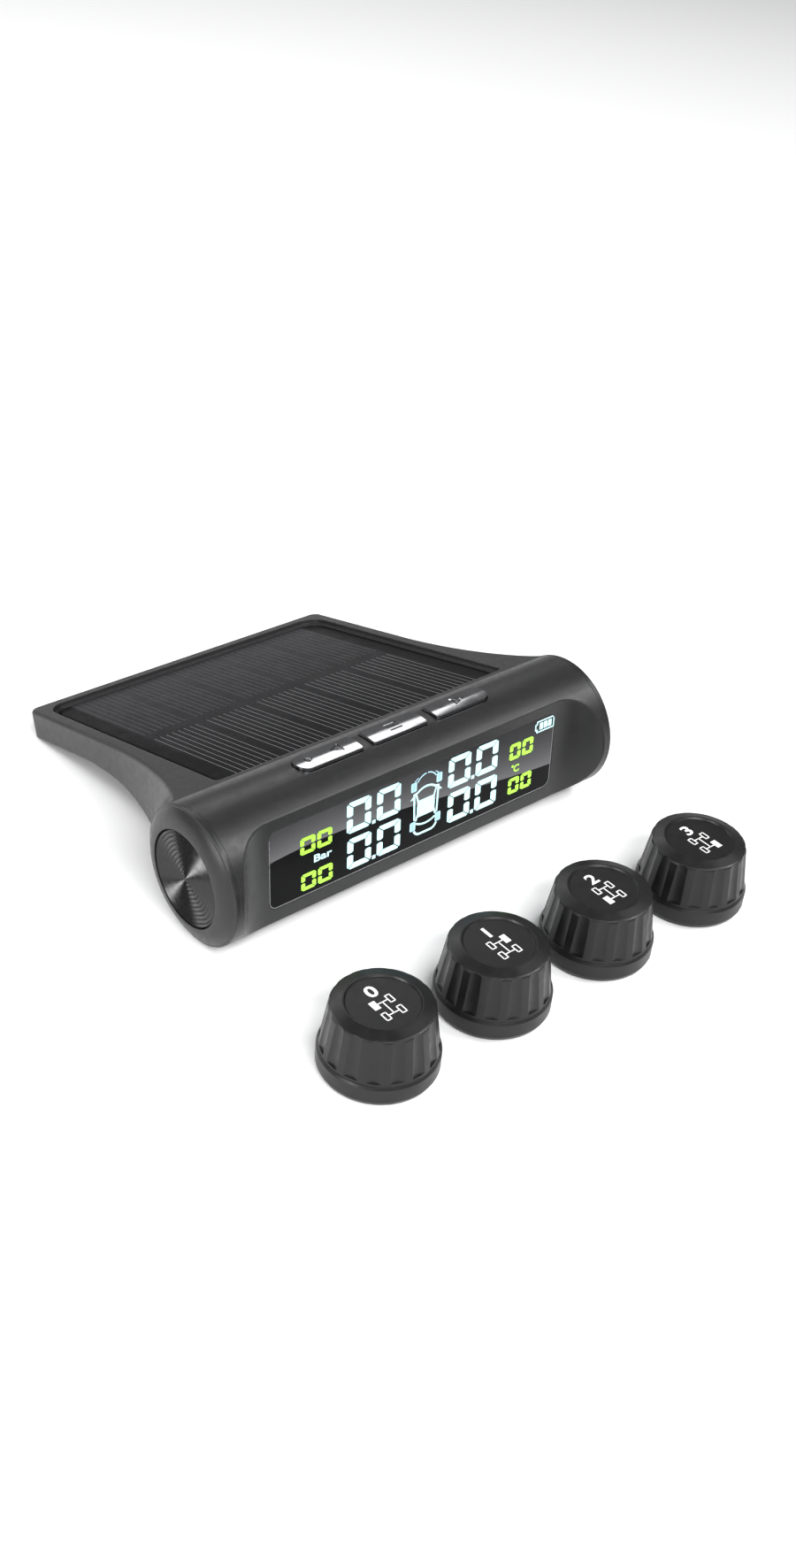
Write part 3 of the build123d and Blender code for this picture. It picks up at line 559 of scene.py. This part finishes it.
def lens_word(name, text, u, v, look, widen):
    place = lens_face + (RIGHT * u + LENS_UP * v + LENS_OUT * WORD_HALF_THICK) * MM
    word(name, text, UNIT_SIZE, place, RIGHT, LENS_UP, LENS_OUT, look, "monitor", widen, UNIT_BOLD)


lens_word("pressure_unit", "Bar", -22.8, -1.25, "lcd_cyan", 1.35)
lens_word("temperature_unit", "C", 25.1, -0.85, "lcd_lime", 1.0)
on_lens("degree_mark", [rounded(24.08, -0.05, 0.6, 0.6, 0.29)], "lcd_lime")

# ---- painted highlight: pale line along the lens's sides and lower edge --------------------
LENS_WIDTH, LENS_HEIGHT = 69.4, 16.6
EDGE_INSET, EDGE_RADIUS, EDGE_WIDTH = 0.12, 1.55, 0.17
edge_u, edge_v = LENS_WIDTH / 2 - EDGE_INSET, LENS_HEIGHT / 2 - EDGE_INSET
corner_u, corner_v = edge_u - EDGE_RADIUS, edge_v - EDGE_RADIUS
highlight_path = [(-edge_u, corner_v)]
highlight_path += arc(-corner_u, -corner_v, EDGE_RADIUS, EDGE_RADIUS, 180, 270, 8)
highlight_path += arc(corner_u, -corner_v, EDGE_RADIUS, EDGE_RADIUS, 270, 360, 8)
highlight_path.append((edge_u, corner_v))
on_lens("lens_edge_painted_highlight", ribbon(highlight_path, EDGE_WIDTH), "edge_painted_highlight")

# ---- solar fingers -------------------------------------------------------------------------
TUBE_AXIS = Vector((0, 0, 13.5 * MM))
FRONT, REAR, TOP, EDGE = 5.9, 67.8, 12.04, 0.9    # the panel's edges and corner from the tube's axis
REAR_MARGIN = 1.6
FINGER_GROUPS = 5
FINGERS_IN_GROUP = 8
FINGER_PITCH = 1.35
FINGER_HALF_WIDTH = 0.065
FINGER_THICK = 0.012
FINGER_GAP = 0.003
BAND_AT, BAND = 37.0, 3.5
CORNER_START, CORNER_END, CORNER_STEPS = 165, 105, 3    # degrees round the panel's front corner


def finger_strip(x, path):
    """Thin raised collector line through (back, up) points on the wing."""
    vertices, faces = [], []
    for index, (back, up) in enumerate(path):
        before = path[max(index - 1, 0)]
        after = path[min(index + 1, len(path) - 1)]
        run = Vector((after[0] - before[0], after[1] - before[1])).normalized()
        for lift in (0, FINGER_THICK):
            for side in (-FINGER_HALF_WIDTH, FINGER_HALF_WIDTH):
                spot = RIGHT * (x + side) + WING_BACK * (back - lift * run.y) + WING_UP * (up + lift * run.x)
                vertices.append(TUBE_AXIS + spot * MM)
    for index in range(len(path) - 1):
        a, b = 4 * index, 4 * index + 4
        faces += [(a + 2, a + 3, b + 3, b + 2), (a, b, b + 1, a + 1), (a, a + 2, b + 2, b),
                  (a + 1, b + 1, b + 3, a + 3)]
    end = 4 * (len(path) - 1)
    faces += [(0, 1, 3, 2), (end, end + 2, end + 3, end + 1)]
    return vertices, faces


def finger_row(name, path, look):
    """One row of collector lines, in groups parted by a missing line."""
    group = FINGERS_IN_GROUP + 1
    places = FINGER_GROUPS * group - 1
    vertices, faces = [], []
    for place in range(places):
        if place % group == FINGERS_IN_GROUP:
            continue
        strip_vertices, strip_faces = finger_strip((place - (places - 1) / 2) * FINGER_PITCH, path)
        start = len(vertices)
        vertices += strip_vertices
        faces += [[start + corner for corner in face] for face in strip_faces]
    add_piece(name, mesh_from(name, vertices, faces), look, "monitor")


finger_top = TOP + FINGER_GAP
bend = arc(FRONT + EDGE, TOP - EDGE, EDGE + FINGER_GAP, EDGE + FINGER_GAP,
           CORNER_START, CORNER_END, CORNER_STEPS)
finger_row("solar_fingers_front",
           bend + [(FRONT + EDGE, finger_top), (BAND_AT - BAND / 2, finger_top)], "finger_silver")
# the rear row gets the darker copy of the lines' material, a painted shade
finger_row("solar_fingers_back",
           [(BAND_AT + BAND / 2, finger_top), (REAR - REAR_MARGIN, finger_top)], "finger_painted_shade")

# ---- sensor marks --------------------------------------------------------------------------
MARK_DEPTH = 0.34                        # the marked face below the cap's highest point
MARK_THICK = 0.02
DIGIT_SIZE, DIGIT_AT, DIGIT_WIDEN = 2.6, 3.0, 1.2
AXLES = (0.2, -2.8)                      # front and rear axle on the cap
TRACK_HALF = 1.6
WHEEL_HALF = (0.45, 0.85)
FILLED_HALF = (0.6, 1.0)
AXLE_HALF = 1.0
MARK_LINE = 0.22


def wheel_plan(filled):
    """Plan of four wheels and their axles, with one wheel filled in."""
    figures = []
    places = [(u, v) for v in AXLES for u in (-TRACK_HALF, TRACK_HALF)]
    for index, (u, v) in enumerate(places):
        if index == filled:
            figures.append(box_outline(u, v, *FILLED_HALF))
        else:
            wheel = box_outline(u, v, *WHEEL_HALF)
            figures += ribbon(wheel + wheel[:1], MARK_LINE)
    for v in AXLES:
        figures += ribbon([(-AXLE_HALF, v), (AXLE_HALF, v)], MARK_LINE)
    return figures + ribbon([(0, v) for v in AXLES], MARK_LINE)


for place, name in enumerate(SENSORS):
    middle = box_middle(name + "_sensor_cap")
    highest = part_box(name + "_sensor_cap")[1].z
    face = Vector((middle.x, middle.y, highest - MARK_DEPTH * MM))
    digit_place = face + (BACKWARD * DIGIT_AT + UP * WORD_HALF_THICK) * MM
    word(name + "_mark_number", str(place), DIGIT_SIZE, digit_place, RIGHT, BACKWARD, UP,
         "print_white", name + "_cap", DIGIT_WIDEN)
    slab(name + "_mark_wheels", wheel_plan(place), face, RIGHT, BACKWARD, UP, MARK_THICK,
         "print_white", name + "_cap")

# ---- studio, in metres and watts -----------------------------------------------------------
FLOOR_HALF = 3.0
FLOOR_GREY = 0.86
SKY = (0.93, 0.94, 0.95, 1)
SKY_STRENGTH = 0.24


def make_floor():
    corners = [(-FLOOR_HALF, -FLOOR_HALF, 0), (FLOOR_HALF, -FLOOR_HALF, 0),
               (FLOOR_HALF, FLOOR_HALF, 0), (-FLOOR_HALF, FLOOR_HALF, 0)]
    mesh = mesh_from("floor", corners, [(0, 1, 2, 3)])
    floor = bpy.data.objects.new("floor", mesh)
    bpy.context.scene.collection.objects.link(floor)
    material, _, shader = new_material("floor_paper")
    shader.inputs["Base Color"].default_value = (FLOOR_GREY, FLOOR_GREY, FLOOR_GREY, 1)
    shader.inputs["Roughness"].default_value = 0.8
    mesh.materials.append(material)


def make_sky():
    world = bpy.data.worlds.new("studio")
    bpy.context.scene.world = world
    world.use_nodes = True
    background = world.node_tree.nodes["Background"]
    background.inputs["Color"].default_value = SKY
    background.inputs["Strength"].default_value = SKY_STRENGTH


def softbox(name, place, target, size, watts):
    light = bpy.data.lights.new(name, "AREA")
    light.shape = "RECTANGLE"
    light.size, light.size_y = size
    light.energy = watts
    lamp = bpy.data.objects.new(name, light)
    bpy.context.scene.collection.objects.link(lamp)
    lamp.location = place
    lamp.rotation_euler = (Vector(target) - Vector(place)).to_track_quat("-Z", "Y").to_euler()


make_floor()
make_sky()
softbox("key", (0.50, -0.38, 0.75), (0, 0, 0), (0.55, 0.28), 5.6)
softbox("fill", (-0.25, -0.70, 0.75), (0, 0, 0), (0.6, 0.3), 11.0)
softbox("back", (0.25, 0.80, 0.66), (0, 0.03, 0), (0.9, 0.26), 2.4)
softbox("rim", (-0.40, 0.85, 0.62), (0, 0.03, 0), (0.3, 0.25), 4.0)
softbox("side", (-0.9, -0.1, 0.4), (0, 0, 0), (0.3, 0.4), 6.0)

# ---- camera, in metres ---------------------------------------------------------------------
VIEW_TILT = math.radians(-10.8)          # from the photograph's upright to the display on the floor
VIEW_AZIMUTH, VIEW_ELEVATION, VIEW_ROLL = (math.radians(angle) for angle in (-38.4, 27.38, -3.05))
VIEW_DISTANCE = 0.318
VIEW_SHIFT = Vector((0.002, -0.008, 0.0))    # of the target from the set's middle
LENS_MM = 38.5
SENSOR_MM = 36
CLIP_START = 0.01


def make_camera():
    """Camera at the photograph's angle and distance, turned so that the whole set is in view."""
    tilt = Matrix.Rotation(VIEW_TILT, 3, "X")
    back = Vector((math.sin(VIEW_AZIMUTH) * math.cos(VIEW_ELEVATION),
                   -math.cos(VIEW_AZIMUTH) * math.cos(VIEW_ELEVATION), math.sin(VIEW_ELEVATION)))
    side = Vector((math.cos(VIEW_AZIMUTH), math.sin(VIEW_AZIMUTH), 0))
    right = side * math.cos(VIEW_ROLL) + back.cross(side) * math.sin(VIEW_ROLL)
    back, right = tilt @ back, tilt @ right
    place = Vector((0, 0, lens_middle.z)) + back * VIEW_DISTANCE
    low, high = cad_box
    back = (place - (low + high) / 2 - VIEW_SHIFT).normalized()
    right = (right - back * right.dot(back)).normalized()
    camera = bpy.data.objects.new("camera", bpy.data.cameras.new("camera"))
    bpy.context.scene.collection.objects.link(camera)
    axes = Matrix((right, back.cross(right), back)).transposed()
    camera.matrix_world = Matrix.Translation(place) @ axes.to_4x4()
    camera.data.lens = LENS_MM
    camera.data.sensor_width = SENSOR_MM
    camera.data.clip_start = CLIP_START
    bpy.context.scene.camera = camera


make_camera()
bpy.context.scene.view_settings.view_transform = "Standard"
